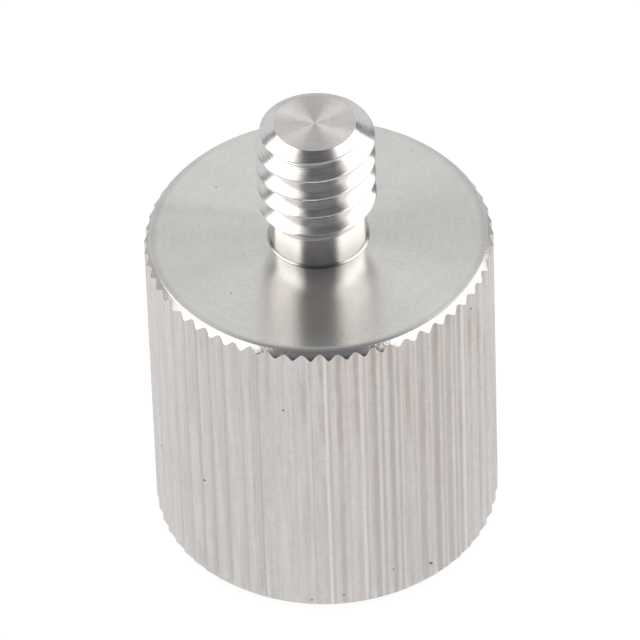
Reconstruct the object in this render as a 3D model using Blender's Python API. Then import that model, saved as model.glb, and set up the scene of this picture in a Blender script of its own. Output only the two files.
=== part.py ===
"""Tripod thread adapter, turned from one bar of stainless steel.

A knurled barrel carries a short threaded stud on its flat top face and has a larger threaded socket in
its underside, so that a device with one tripod thread fits a support with the other. The adapter is one
piece: the blank is turned with its neck and chamfers, its side is knurled with straight teeth, the stud's
thread is cut with a single-point tool and the socket is drilled, countersunk and tapped.

The model is in metres, +Z up. The origin is the centre of the underside, and the threads' axis is the Z axis.
"""

import math

import bmesh
import bpy

MM = 0.001

# Barrel
BARREL_HEIGHT = 18.76 * MM
KNURL_CREST_RADIUS = 9.19 * MM
KNURL_DEPTH = 0.24 * MM
RIM_CHAMFER_WIDTH = 0.39 * MM
RIM_CHAMFER_HEIGHT = 0.46 * MM

# Knurl: straight teeth with a narrow flat crest and a rounded groove
TOOTH_COUNT = 61
TOOTH_CREST_SHARE = 0.2
TOOTH_FLANK_STEPS = 3
FIRST_CREST_ANGLE = math.radians(-88.13)

# Stud: heights are above the barrel's top face
STUD_LENGTH = 7.90 * MM
STUD_THREAD_RADIUS = 3.13 * MM
STUD_PITCH = 1.27 * MM
STUD_CREST_FLAT = STUD_PITCH / 8
STUD_ROOT_FLAT = STUD_PITCH / 5
TIP_CHAMFER_WIDTH = 0.99 * MM
TIP_CHAMFER_HEIGHT = 0.73 * MM
NECK_HEIGHT = 2.04 * MM
NECK_UNDERCUT = 0.56 * MM
NECK_FILLET = 0.13 * MM
LAST_CREST_RISE = 0.75 * MM

# Socket, in the underside
SOCKET_THREAD_RADIUS = 4.78 * MM
SOCKET_PITCH = 1.5875 * MM
SOCKET_CREST_FLAT = 0.3 * SOCKET_PITCH
SOCKET_ROOT_FLAT = SOCKET_PITCH / 8
SOCKET_MOUTH_MARGIN = 0.35 * MM
SOCKET_ROOF = 2.4 * MM
TAP_END_CLEARANCE = 2.0 * MM

# Angles that the tools leave
FLANK_ANGLE = math.radians(30)
COUNTERSINK_ANGLE = math.radians(45)
DRILL_POINT_ANGLE = math.radians(59)
FRONT = math.radians(-90)
STUD_RUN_OUT_START = math.radians(-90)
STUD_RUN_OUT_TURN = math.radians(100)
SOCKET_RUN_OUT_TURN = math.radians(200)

# Roundness, and how far a cutter reaches past what it cuts
STUD_STEPS = 48
SOCKET_STEPS = 36
FILLET_STEPS = 3
CUTTER_OVERLAP = 0.3 * MM
FLANK_OVERLAP = 0.05 * MM

FACE_RADIUS = KNURL_CREST_RADIUS - RIM_CHAMFER_WIDTH
NECK_RADIUS = STUD_THREAD_RADIUS - NECK_UNDERCUT
TIP_RADIUS = STUD_THREAD_RADIUS - TIP_CHAMFER_WIDTH


def thread_depth(pitch, crest_flat, root_flat):
    """Radial depth of a thread whose two flanks fill the pitch between its crest flat and its root flat."""
    return (pitch - crest_flat - root_flat) / 2 / math.tan(FLANK_ANGLE)


def steel():
    """Bare stainless steel, turned bright."""
    material = bpy.data.materials.new("stainless_steel")
    material.use_nodes = True
    shader = material.node_tree.nodes["Principled BSDF"]
    shader.inputs["Base Color"].default_value = (0.63, 0.62, 0.60, 1.0)
    shader.inputs["Metallic"].default_value = 1.0
    shader.inputs["Roughness"].default_value = 0.3
    return material


def ring(mesh, outline, height):
    """Add the corners of a level ring, one for each (angle, radius) of its outline."""
    return [
        mesh.verts.new((radius * math.cos(angle), radius * math.sin(angle), height))
        for angle, radius in outline
    ]


def circle(radius, steps):
    """Outline of a round ring, as (angle, radius) pairs."""
    return [(2 * math.pi * step / steps, radius) for step in range(steps)]


def loft(mesh, rings):
    """Join rings of equal count, one after the other, with a band of quads between each two."""
    for low, high in zip(rings, rings[1:]):
        for here in range(len(low)):
            after = (here + 1) % len(low)
            mesh.faces.new((low[here], low[after], high[after], high[here]))


def flat_between(mesh, outer, inner):
    """Fill the flat face between two level rings of different count."""
    edges = []
    for loop in (outer, inner):
        for here, corner in enumerate(loop):
            after = loop[(here + 1) % len(loop)]
            edges.append(mesh.edges.get((corner, after)) or mesh.edges.new((corner, after)))
    bmesh.ops.triangle_fill(mesh, edges=edges, use_beauty=True)


def finish_object(mesh, name):
    """Turn the faces outwards, make the object and shade its round surfaces smooth."""
    bmesh.ops.recalc_face_normals(mesh, faces=mesh.faces)
    data = bpy.data.meshes.new(name)
    mesh.to_mesh(data)
    mesh.free()
    data.shade_smooth()
    data.set_sharp_from_angle(angle=math.radians(25))
    piece = bpy.data.objects.new(name, data)
    bpy.context.collection.objects.link(piece)
    return piece


def tooth_outline():
    """The knurled outline from above, tooth after tooth, as (angle, radius) pairs.

    A tooth spans one unit from groove to groove. Its flat crest is in the middle, and each flank falls away
    from it as a parabola, which is steep beside the crest and level at the bottom of the groove.
    """
    crest_edge = TOOTH_CREST_SHARE / 2
    flank = [step / TOOTH_FLANK_STEPS for step in range(TOOTH_FLANK_STEPS)]
    falling = [(crest_edge + (0.5 - crest_edge) * part, (1 - part) ** 2) for part in flank]
    rising = [(-place, height) for place, height in reversed(falling)]
    tooth = rising + falling + [(0.5, 0.0)]
    groove_radius = KNURL_CREST_RADIUS - KNURL_DEPTH
    pitch_angle = 2 * math.pi / TOOTH_COUNT
    return [
        (FIRST_CREST_ANGLE + (count + place) * pitch_angle, groove_radius + KNURL_DEPTH * height)
        for count in range(TOOTH_COUNT)
        for place, height in tooth
    ]


def chamfered_ring(mesh, outline, face_height, inwards):
    """A knurled ring cut by the rim's cone: a corner further out is further from the face."""
    corners = ring(mesh, outline, face_height)
    slope = RIM_CHAMFER_HEIGHT / RIM_CHAMFER_WIDTH
    for corner, (_, radius) in zip(corners, outline):
        corner.co.z += inwards * slope * (radius - FACE_RADIUS)
    return corners


def stud_profile():
    """The turned stud before its thread is cut, from its fillet up to its tip, as (radius, height) pairs."""
    quarter = [math.pi / 2 * step / FILLET_STEPS for step in range(FILLET_STEPS + 1)]
    fillet = [
        (NECK_RADIUS + NECK_FILLET * (1 - math.sin(angle)), NECK_FILLET * (1 - math.cos(angle)))
        for angle in quarter
    ]
    return fillet + [
        (NECK_RADIUS, NECK_HEIGHT),
        (STUD_THREAD_RADIUS, NECK_HEIGHT + NECK_UNDERCUT),
        (STUD_THREAD_RADIUS, STUD_LENGTH - TIP_CHAMFER_HEIGHT),
        (TIP_RADIUS, STUD_LENGTH),
    ]


def turned_blank():
    """The knurled barrel and the plain stud as one closed solid."""
    mesh = bmesh.new()
    teeth = tooth_outline()
    face = [(angle, FACE_RADIUS) for angle, _ in teeth]
    barrel = [
        ring(mesh, face, 0.0),
        chamfered_ring(mesh, teeth, 0.0, 1),
        chamfered_ring(mesh, teeth, BARREL_HEIGHT, -1),
        ring(mesh, face, BARREL_HEIGHT),
    ]
    stud = [
        ring(mesh, circle(radius, STUD_STEPS), BARREL_HEIGHT + height)
        for radius, height in stud_profile()
    ]
    loft(mesh, barrel)
    loft(mesh, stud)
    mesh.faces.new(barrel[0])
    mesh.faces.new(stud[-1])
    flat_between(mesh, barrel[-1], stud[0])
    return finish_object(mesh, "thread_adapter")


def helical_cutter(name, pitch, steps, start_angle, end_angle, start_height, section):
    """A closed cutter that winds along the thread's helix, from one angle up to the other.

    Angles count from the front, where the cutter's middle is at start_height. section gives the cutter's
    outline at an angle, as (radius, height) pairs in the plane through the axis. The sections stand half a
    step from the turned rings' corners, so that no two edges meet along a line.
    """
    mesh = bmesh.new()
    step_angle = 2 * math.pi / steps
    first = math.floor(start_angle / step_angle)
    last = math.ceil(end_angle / step_angle)
    stations = []
    for count in range(first, last + 1):
        angle = (count + 0.5) * step_angle
        rise = start_height + pitch * angle / (2 * math.pi)
        direction = FRONT + angle
        stations.append([
            mesh.verts.new((radius * math.cos(direction), radius * math.sin(direction), rise + height))
            for radius, height in section(angle)
        ])
    loft(mesh, stations)
    mesh.faces.new(stations[0])
    mesh.faces.new(stations[-1])
    return finish_object(mesh, name)


def stud_thread_cutter():
    """The groove of the stud's thread, which leaves the tip above and is drawn out over the neck below."""
    depth = thread_depth(STUD_PITCH, STUD_CREST_FLAT, STUD_ROOT_FLAT)
    overlap_width = FLANK_OVERLAP * math.tan(FLANK_ANGLE)
    half_root = STUD_ROOT_FLAT / 2
    half_mouth = (STUD_PITCH - STUD_CREST_FLAT) / 2 + overlap_width
    root_radius = STUD_THREAD_RADIUS - depth
    mouth_radius = STUD_THREAD_RADIUS + FLANK_OVERLAP
    outer_radius = STUD_THREAD_RADIUS + CUTTER_OVERLAP

    def section(angle):
        drawn = min(max((STUD_RUN_OUT_START - angle) / STUD_RUN_OUT_TURN, 0.0), 1.0)
        out = drawn * (depth + CUTTER_OVERLAP)
        return [
            (root_radius + out, -half_root),
            (mouth_radius + out, -half_mouth),
            (outer_radius + out, -half_mouth),
            (outer_radius + out, half_mouth),
            (mouth_radius + out, half_mouth),
            (root_radius + out, half_root),
        ]

    groove_height = NECK_HEIGHT + LAST_CREST_RISE - STUD_PITCH / 2
    past_tip = 2 * math.pi * (STUD_LENGTH + STUD_PITCH - groove_height) / STUD_PITCH
    run_out_end = STUD_RUN_OUT_START - STUD_RUN_OUT_TURN
    start_height = BARREL_HEIGHT + groove_height
    return helical_cutter(
        "stud_thread_cutter", STUD_PITCH, STUD_STEPS, run_out_end, past_tip, start_height, section
    )


def socket_radius():
    """Radius of the tap drill, which is also the inside of the socket's thread."""
    return SOCKET_THREAD_RADIUS - thread_depth(SOCKET_PITCH, SOCKET_CREST_FLAT, SOCKET_ROOT_FLAT)


def socket_depth():
    """Depth of the drilled wall, from the underside to where the drill's point begins."""
    return BARREL_HEIGHT - SOCKET_ROOF - socket_radius() / math.tan(DRILL_POINT_ANGLE)


def socket_cutter():
    """The drilled and countersunk hole: a cone at the mouth, a straight wall and the drill's point."""
    mesh = bmesh.new()
    bore = socket_radius()
    below = CUTTER_OVERLAP
    mouth = SOCKET_THREAD_RADIUS + SOCKET_MOUTH_MARGIN
    profile = [
        (mouth + below * math.tan(COUNTERSINK_ANGLE), -below),
        (bore, (mouth - bore) / math.tan(COUNTERSINK_ANGLE)),
        (bore, socket_depth()),
    ]
    rings = [ring(mesh, circle(radius, SOCKET_STEPS), height) for radius, height in profile]
    loft(mesh, rings)
    mesh.faces.new(rings[0])
    point = mesh.verts.new((0.0, 0.0, BARREL_HEIGHT - SOCKET_ROOF))
    for here, corner in enumerate(rings[-1]):
        mesh.faces.new((corner, rings[-1][(here + 1) % SOCKET_STEPS], point))
    return finish_object(mesh, "socket_cutter")


def socket_thread_cutter():
    """The groove of the socket's thread, from below the mouth up to where the tap stops and fades out."""
    bore = socket_radius()
    half_root = SOCKET_ROOT_FLAT / 2
    half_mouth = (SOCKET_PITCH - SOCKET_CREST_FLAT) / 2 + FLANK_OVERLAP * math.tan(FLANK_ANGLE)
    depth = SOCKET_THREAD_RADIUS - bore
    below = SOCKET_PITCH
    end_height = socket_depth() - TAP_END_CLEARANCE
    end_angle = 2 * math.pi * (end_height + below) / SOCKET_PITCH

    def section(angle):
        faded = min(max((angle - end_angle + SOCKET_RUN_OUT_TURN) / SOCKET_RUN_OUT_TURN, 0.0), 1.0)
        drawn = faded * (depth + FLANK_OVERLAP)
        inner_radius = bore - CUTTER_OVERLAP - drawn
        mouth_radius = bore - FLANK_OVERLAP - drawn
        root_radius = SOCKET_THREAD_RADIUS - drawn
        return [
            (inner_radius, -half_mouth),
            (mouth_radius, -half_mouth),
            (root_radius, -half_root),
            (root_radius, half_root),
            (mouth_radius, half_mouth),
            (inner_radius, half_mouth),
        ]

    return helical_cutter("socket_thread_cutter", SOCKET_PITCH, SOCKET_STEPS, 0.0, end_angle, -below, section)


def cut(piece, cutter):
    """Take the cutter's space out of the piece, and keep the cutter as a wire guide."""
    cutter.display_type = "WIRE"
    cutter.hide_render = True
    boolean = piece.modifiers.new(cutter.name, "BOOLEAN")
    boolean.operation = "DIFFERENCE"
    boolean.object = cutter


def main():
    for old in list(bpy.data.objects):
        bpy.data.objects.remove(old)
    adapter = turned_blank()
    adapter.data.materials.append(steel())
    cut(adapter, stud_thread_cutter())
    cut(adapter, socket_cutter())
    cut(adapter, socket_thread_cutter())


main()
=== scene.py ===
# %% [markdown]
# # A turned and knurled thread adapter
# This lesson dresses a small steel adapter that joins two sizes of tripod thread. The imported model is
# loaded first and stays as it is: it gives the sizes and the motion. A finer copy of the same form is
# then built in its place, with real thread flanks, a real knurl and the marks that the tools left.

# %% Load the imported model
import math
import random

import bmesh
import bpy
from mathutils import Matrix, Vector


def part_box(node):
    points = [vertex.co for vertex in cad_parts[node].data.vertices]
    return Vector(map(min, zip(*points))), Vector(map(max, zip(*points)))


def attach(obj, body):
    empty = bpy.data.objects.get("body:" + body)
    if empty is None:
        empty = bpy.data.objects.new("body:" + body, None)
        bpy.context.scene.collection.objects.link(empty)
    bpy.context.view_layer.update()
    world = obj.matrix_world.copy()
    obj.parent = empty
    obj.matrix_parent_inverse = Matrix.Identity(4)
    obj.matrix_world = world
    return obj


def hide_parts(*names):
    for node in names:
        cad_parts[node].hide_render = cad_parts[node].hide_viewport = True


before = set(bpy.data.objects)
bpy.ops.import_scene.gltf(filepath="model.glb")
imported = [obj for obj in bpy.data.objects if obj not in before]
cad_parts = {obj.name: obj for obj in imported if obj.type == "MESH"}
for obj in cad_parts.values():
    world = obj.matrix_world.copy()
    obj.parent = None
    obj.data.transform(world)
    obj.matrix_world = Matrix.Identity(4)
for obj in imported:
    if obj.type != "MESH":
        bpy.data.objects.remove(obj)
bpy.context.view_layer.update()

print("packed nodes:", sorted(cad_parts))

# %% [markdown]
# ## Sizes
# A turned part is described by radii and heights, so these are the numbers on its drawing. The stud has a
# quarter-inch thread of twenty turns to the inch, and the socket below has the larger three-eighths
# thread of sixteen turns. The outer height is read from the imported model.

# %% Sizes of the turned part
MM = 0.001
NODE = "thread_adapter"
TOTAL_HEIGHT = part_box(NODE)[1].z

BARREL_HEIGHT = 18.76 * MM
KNURL_CREST_RADIUS = 9.19 * MM
KNURL_DEPTH = 0.24 * MM
RIM_CHAMFER_WIDTH = 0.39 * MM
RIM_CHAMFER_HEIGHT = 0.46 * MM
FACE_RADIUS = KNURL_CREST_RADIUS - RIM_CHAMFER_WIDTH

STUD_THREAD_RADIUS = 3.13 * MM
STUD_PITCH = 1.27 * MM
TIP_CHAMFER_WIDTH = 0.99 * MM
TIP_CHAMFER_HEIGHT = 0.73 * MM
NECK_HEIGHT = 2.04 * MM
NECK_UNDERCUT = 0.56 * MM
NECK_FILLET = 0.18 * MM
LAST_CREST_RISE = 0.75 * MM
NECK_RADIUS = STUD_THREAD_RADIUS - NECK_UNDERCUT

SOCKET_THREAD_RADIUS = 4.78 * MM
SOCKET_PITCH = 1.5875 * MM
SOCKET_MOUTH_MARGIN = 0.35 * MM
SOCKET_ROOF = 2.4 * MM
TAP_END_CLEARANCE = 2.0 * MM

FLANK_ANGLE = math.radians(30)
FRONT = math.radians(-90)
print("height over all:", round(TOTAL_HEIGHT / MM, 2), "mm")

# %% [markdown]
# ## Helpers for ring by ring modelling
# A lathe makes a part one radius at a time, and a ring of vertices that is extruded again and again does
# the same. The Screw modifier could revolve a drawn profile instead, but the knurl changes the radius with
# the angle as well, so each ring here is extruded with the operator and then set to its own radius.

# %% Extrude the selected ring
def clear_selection():
    """Leave edit mode and deselect everything, so that the next operator acts on its own piece."""
    if bpy.context.object and bpy.context.object.mode != "OBJECT":
        bpy.ops.object.mode_set(mode="OBJECT")
    bpy.ops.object.select_all(action="DESELECT")


def set_selected_ring(height_of, radius_of):
    """Give each selected corner the height and the radius that belong to its angle."""
    shape = bmesh.from_edit_mesh(bpy.context.edit_object.data)
    for corner in shape.verts:
        if corner.select:
            angle = math.atan2(corner.co.y, corner.co.x)
            radius = radius_of(angle)
            corner.co = (radius * math.cos(angle), radius * math.sin(angle), height_of(angle))
    bmesh.update_edit_mesh(bpy.context.edit_object.data)


def extrude_ring(height, radius):
    """Extrude the selected ring of edges and set the new ring. Both values are numbers or functions."""
    bpy.ops.mesh.extrude_edges_indiv()
    height_of = height if callable(height) else lambda angle: height
    radius_of = radius if callable(radius) else lambda angle: radius
    set_selected_ring(height_of, radius_of)


def start_ring(name, corners, height, radius, first_angle=0.0):
    """Add a circle and stay in edit mode with all its edges selected."""
    clear_selection()
    bpy.ops.mesh.primitive_circle_add(
        vertices=corners, radius=radius, location=(0, 0, height), rotation=(0, 0, first_angle)
    )
    bpy.context.object.name = name
    bpy.ops.object.transform_apply(location=True, rotation=True, scale=True)
    bpy.ops.object.mode_set(mode="EDIT")
    bpy.ops.mesh.select_mode(type="EDGE")
    bpy.ops.mesh.select_all(action="SELECT")
    return bpy.context.edit_object


print("helpers made: start_ring and extrude_ring")

# %% [markdown]
# ## The teeth of the knurl
# A straight knurl is rolled into the side before the ends are faced and chamfered. Sixty-one teeth go
# round. Each has a narrow crest with a slight round, and between two crests lies a rounded groove whose
# depth varies a little, as rolling leaves it. A displacement map could carry the teeth, but only real teeth
# give the zigzag rims and the outline, so the radius is a function of the angle.

# %% Tooth profile
TOOTH_COUNT = 61
STEPS_PER_TOOTH = 20
CREST_ROUNDNESS = 0.3
GROOVE_FALL = 1.7
SHALLOWEST_GROOVE = 0.62
DEEPEST_GROOVE = 0.95
FIRST_CREST_ANGLE = math.radians(-88.13)
TOOTH_ANGLE = 2 * math.pi / TOOTH_COUNT
depth_dice = random.Random(TOOTH_COUNT)
depth_shares = [depth_dice.uniform(SHALLOWEST_GROOVE, DEEPEST_GROOVE) for _ in range(TOOTH_COUNT)]
GROOVE_DEPTHS = [KNURL_DEPTH * share for share in depth_shares]


def tooth_radius(angle):
    """Radius of the knurl at an angle: a rounded crest on each tooth and a rounded groove between two."""
    place = (angle - FIRST_CREST_ANGLE) / TOOTH_ANGLE
    from_crest = abs(place - math.floor(place + 0.5)) * 2
    groove = math.floor(place) % TOOTH_COUNT
    steep = math.hypot(from_crest, CREST_ROUNDNESS) - CREST_ROUNDNESS
    fall = steep / (math.hypot(1, CREST_ROUNDNESS) - CREST_ROUNDNESS)
    return KNURL_CREST_RADIUS - GROOVE_DEPTHS[groove] * (1 - (1 - fall) ** GROOVE_FALL)


print("tooth spacing:", round(TOOTH_ANGLE * KNURL_CREST_RADIUS / MM, 3), "mm")

# %% [markdown]
# ## The worn edge between the top face and its chamfer
# Handling and tumbling have worn the rim of the face: it slopes off a little over its last third of a
# millimetre and then turns round into the chamfer. A Bevel modifier would round that edge evenly but not
# slope the face, so the edge is a short profile of points, each a small turn further than the last.

# %% Profile of the worn edge
WORN_WIDTH = 0.38 * MM
WORN_TILT = math.radians(12)
WORN_STEPS = 6
EDGE_ROUNDING = 0.08 * MM
EDGE_SHIFT = 0.07 * MM
EDGE_STEPS = 5
edge_profile = [(FACE_RADIUS + EDGE_SHIFT - WORN_WIDTH, BARREL_HEIGHT)]
steps = [(WORN_TILT * step / WORN_STEPS, WORN_WIDTH / WORN_STEPS) for step in range(1, WORN_STEPS + 1)]
chamfer_angle = math.atan2(RIM_CHAMFER_HEIGHT, RIM_CHAMFER_WIDTH)
turn = (chamfer_angle - WORN_TILT) / EDGE_STEPS
steps += [(WORN_TILT + turn * step, EDGE_ROUNDING * turn) for step in range(1, EDGE_STEPS + 1)]
for tilt, length in steps:
    radius, height = edge_profile[-1]
    edge_profile.append((radius + length * math.cos(tilt), height - length * math.sin(tilt)))
edge_radius, edge_height = edge_profile[-1]
print("edge falls by", round((BARREL_HEIGHT - edge_height) / MM, 3), "mm")

# %% [markdown]
# ## The barrel
# Each rim's chamfer is a plain cone, so it bites deeper into the crests than into the grooves, and the rim
# ends in a zigzag. A Boolean with a cone would cut it, but the height where the cone meets the knurl is
# easy to work out for every angle, so the rings are set there and the mesh stays clean.

# %% Extrude the barrel from its underside to its top face
SIDE_ROWS = 16


def rim_height(edge_radius, edge_height, rim_side_height):
    """Height of a chamfer's cone where it meets the knurl, as a function of the angle."""
    slope = (rim_side_height - edge_height) / (KNURL_CREST_RADIUS - edge_radius)
    return lambda angle: edge_height + slope * (tooth_radius(angle) - edge_radius)


columns = TOOTH_COUNT * STEPS_PER_TOOTH
adapter = start_ring("adapter_body", columns, 0.0, FACE_RADIUS, FIRST_CREST_ANGLE)
bpy.ops.mesh.edge_face_add()
bpy.ops.mesh.select_all(action="SELECT")
low_rim = rim_height(FACE_RADIUS, 0.0, RIM_CHAMFER_HEIGHT)
high_rim = rim_height(edge_radius, edge_height, BARREL_HEIGHT - RIM_CHAMFER_HEIGHT)
extrude_ring(low_rim, tooth_radius)
for row in range(1, SIDE_ROWS + 1):
    share = row / SIDE_ROWS
    extrude_ring(lambda angle: low_rim(angle) + (high_rim(angle) - low_rim(angle)) * share, tooth_radius)
for radius, height in reversed(edge_profile):
    extrude_ring(height, radius)
bpy.ops.object.mode_set(mode="OBJECT")
print("barrel:", len(adapter.data.polygons), "faces")

# %% [markdown]
# ## The stud
# The stud is turned from the same bar: a small fillet, a plain neck a little thinner than the thread, a
# shoulder, the shank and a chamfered tip. It could be one stack of rings with the barrel, but it needs
# fewer columns than the knurl, so it is its own stack.

# %% Extrude the stud from its fillet to its tip
STUD_COLUMNS = 192
FILLET_STEPS = 8
stud = start_ring("stud", STUD_COLUMNS, BARREL_HEIGHT, NECK_RADIUS + NECK_FILLET)
for step in range(1, FILLET_STEPS + 1):
    turned = math.pi / 2 * step / FILLET_STEPS
    extrude_ring(
        BARREL_HEIGHT + NECK_FILLET * (1 - math.cos(turned)),
        NECK_RADIUS + NECK_FILLET * (1 - math.sin(turned)),
    )
extrude_ring(BARREL_HEIGHT + NECK_HEIGHT, NECK_RADIUS)
extrude_ring(BARREL_HEIGHT + NECK_HEIGHT + NECK_UNDERCUT, STUD_THREAD_RADIUS)
extrude_ring(TOTAL_HEIGHT - TIP_CHAMFER_HEIGHT, STUD_THREAD_RADIUS)
extrude_ring(TOTAL_HEIGHT, STUD_THREAD_RADIUS - TIP_CHAMFER_WIDTH)
bpy.ops.mesh.edge_face_add()
bpy.ops.object.mode_set(mode="OBJECT")
print("stud:", len(stud.data.polygons), "faces")

# %% [markdown]
# ## One piece of metal
# Barrel and stud are one bar, so their meshes become one. The flat top face lies between two circles with
# different numbers of corners. Bridging them would leave slivers, and Fill lays triangles across the flat
# ring, which do no harm where all is level.

# %% Join both and fill the top face
clear_selection()
stud.select_set(True)
adapter.select_set(True)
bpy.context.view_layer.objects.active = adapter
bpy.ops.object.join()
bpy.ops.object.mode_set(mode="EDIT")
bpy.ops.mesh.select_all(action="DESELECT")
bpy.ops.mesh.select_mode(type="EDGE")
shape = bmesh.from_edit_mesh(adapter.data)
for edge in shape.edges:
    edge.select = edge.is_boundary
bmesh.update_edit_mesh(adapter.data)
bpy.ops.mesh.fill(use_beauty=True)
bpy.ops.mesh.select_all(action="SELECT")
bpy.ops.mesh.normals_make_consistent(inside=False)
bpy.ops.object.mode_set(mode="OBJECT")
print("blank:", len(adapter.data.polygons), "faces")

# %% [markdown]
# ## Cutting threads
# A thread is one groove wound round the axis. It could be modelled as rings that rise with the angle, but
# a cutter is closer to the lathe: the groove's section is drawn once, a Screw modifier winds it at the
# thread's pitch into a long closed cutter, and a Boolean takes the cutter out of the blank.

# %% Draw the section of a thread groove
ARC_STEPS = 4
ROOT_ROUNDING = 0.05 * MM
CREST_GRAZE = 0.003 * MM
CUTTER_OVERLAP = 0.3 * MM
CREST_SHARE = 1 / 8
STUD_ROOT_SHARE = 1 / 5
STUD_CREST_ROUNDING = 0.10 * MM


def thread_depth(pitch, crest_share, root_share):
    """Depth of a groove whose flanks stand at the flank angle between a flat crest and a flat root."""
    return pitch * (1 - crest_share - root_share) / 2 / math.tan(FLANK_ANGLE)


def groove_section(crest_radius, root_radius, pitch, crest_share, root_share, crest_rounding):
    """A groove's outline as (radius, height) pairs: a flat root, straight flanks and rounded crests."""
    outwards = 1 if crest_radius > root_radius else -1
    turn = math.pi / 2 - FLANK_ANGLE
    root_edge = pitch * root_share / 2 - ROOT_ROUNDING * math.tan(turn / 2)
    crest_painted_shade = pitch * (1 - crest_share) / 2 + crest_rounding * math.tan(turn / 2)
    upper_half = []
    for step in range(ARC_STEPS + 1):
        turned = turn * step / ARC_STEPS
        radius = root_radius + outwards * ROOT_ROUNDING * (1 - math.cos(turned))
        upper_half.append((radius, root_edge + ROOT_ROUNDING * math.sin(turned)))
    for step in range(ARC_STEPS + 1):
        turned = turn * (1 - step / ARC_STEPS)
        radius = crest_radius + outwards * (CREST_GRAZE - crest_rounding * (1 - math.cos(turned)))
        upper_half.append((radius, crest_painted_shade - crest_rounding * math.sin(turned)))
    upper_half.append((crest_radius + outwards * CUTTER_OVERLAP, crest_painted_shade))
    return [(radius, -height) for radius, height in reversed(upper_half)] + upper_half


stud_depth = thread_depth(STUD_PITCH, CREST_SHARE, STUD_ROOT_SHARE)
stud_root_radius = STUD_THREAD_RADIUS - stud_depth
stud_section = groove_section(
    STUD_THREAD_RADIUS, stud_root_radius, STUD_PITCH, CREST_SHARE, STUD_ROOT_SHARE, STUD_CREST_ROUNDING
)
print("the stud's groove:", round(stud_depth / MM, 3), "mm deep,", len(stud_section), "corners")


# %% Wind the section into a cutter
def wind_cutter(name, section, pitch, turns, steps, start_height):
    """Sweep the section along a helix that starts half a step from the front, and close both ends."""
    clear_selection()
    bpy.ops.mesh.primitive_circle_add(vertices=len(section), radius=pitch)
    cutter = bpy.context.object
    cutter.name = name
    start_angle = FRONT + math.pi / steps
    for corner, (radius, height) in zip(cutter.data.vertices, section):
        corner.co = (radius * math.cos(start_angle), radius * math.sin(start_angle), start_height + height)
    screw = cutter.modifiers.new("wind", "SCREW")
    screw.axis = "Z"
    screw.screw_offset = pitch
    screw.iterations = turns
    screw.steps = steps
    screw.render_steps = steps
    screw.use_merge_vertices = False
    bpy.ops.object.modifier_apply(modifier="wind")
    bpy.ops.object.mode_set(mode="EDIT")
    bpy.ops.mesh.select_all(action="SELECT")
    bpy.ops.mesh.fill_holes(sides=0)
    bpy.ops.mesh.normals_make_consistent(inside=False)
    bpy.ops.object.mode_set(mode="OBJECT")
    return cutter


THREAD_STEPS = 192
groove_at_front = BARREL_HEIGHT + NECK_HEIGHT + LAST_CREST_RISE - STUD_PITCH / 2
stud_turns = math.ceil((TOTAL_HEIGHT + STUD_PITCH - groove_at_front) / STUD_PITCH) + 1
stud_cutter = wind_cutter(
    "stud_thread_cutter", stud_section, STUD_PITCH, stud_turns, THREAD_STEPS, groove_at_front - STUD_PITCH
)
print("the stud's cutter:", stud_turns, "turns")

# %% [markdown]
# ## Where the stud's thread runs out
# The tool does not stop in the metal. Over about a quarter of a turn it is drawn back, and the groove fades
# into the shoulder above the neck. Scaling the cutter's end would also move its pitch, so each corner of
# the cutter is moved away from the axis by as much as its place along the helix asks.

# %% Draw the cutter back and cut the stud's thread
RUN_OUT_START_TURN = -0.25
RUN_OUT_TURNS = 0.28


def turns_wound(corner, pitch, start_height):
    """How far along the helix a corner lies, in turns from the front."""
    around = (math.atan2(corner.y, corner.x) - FRONT) / (2 * math.pi)
    return around + round((corner.z - start_height) / pitch - around)


def cut_away(cutter):
    """Take the cutter's space out of the adapter and delete the cutter."""
    clear_selection()
    adapter.select_set(True)
    bpy.context.view_layer.objects.active = adapter
    boolean = adapter.modifiers.new("cut", "BOOLEAN")
    boolean.operation = "DIFFERENCE"
    boolean.solver = "EXACT"
    boolean.object = cutter
    bpy.ops.object.modifier_apply(modifier="cut")
    bpy.data.objects.remove(cutter)


for corner in stud_cutter.data.vertices:
    wound = turns_wound(corner.co, STUD_PITCH, groove_at_front)
    faded = min(max((RUN_OUT_START_TURN - wound) / RUN_OUT_TURNS, 0.0), 1.0)
    outwards = Vector((corner.co.x, corner.co.y, 0)).normalized()
    corner.co += outwards * (faded * (stud_depth + CUTTER_OVERLAP))
cut_away(stud_cutter)
print("after the stud's thread:", len(adapter.data.polygons), "faces")

# %% [markdown]
# ## The socket in the underside
# The hidden underside has a drilled hole with the drill's cone at its end and a countersunk mouth. A cone
# and two cylinders could be joined for it, but the hole is turned work as well, so it is a ring stack like
# the barrel, and the finished stack is cut out of the adapter.

# %% The drilled hole
SOCKET_COLUMNS = 128
SOCKET_CREST_SHARE = 0.3
DRILL_POINT_ANGLE = math.radians(59)
socket_thread_depth = thread_depth(SOCKET_PITCH, SOCKET_CREST_SHARE, CREST_SHARE)
bore_radius = SOCKET_THREAD_RADIUS - socket_thread_depth
mouth_radius = SOCKET_THREAD_RADIUS + SOCKET_MOUTH_MARGIN
drilled_depth = BARREL_HEIGHT - SOCKET_ROOF - bore_radius / math.tan(DRILL_POINT_ANGLE)
drill = start_ring("socket_cutter", SOCKET_COLUMNS, -CUTTER_OVERLAP, mouth_radius + CUTTER_OVERLAP)
bpy.ops.mesh.edge_face_add()
bpy.ops.mesh.select_all(action="SELECT")
extrude_ring(mouth_radius - bore_radius, bore_radius)
extrude_ring(drilled_depth, bore_radius)
bpy.ops.mesh.extrude_edges_indiv()
bpy.ops.mesh.merge(type="CENTER")
shape = bmesh.from_edit_mesh(drill.data)
for corner in shape.verts:
    if corner.select:
        corner.co.z = BARREL_HEIGHT - SOCKET_ROOF
bmesh.update_edit_mesh(drill.data)
bpy.ops.mesh.select_all(action="SELECT")
bpy.ops.mesh.normals_make_consistent(inside=False)
cut_away(drill)
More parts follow.
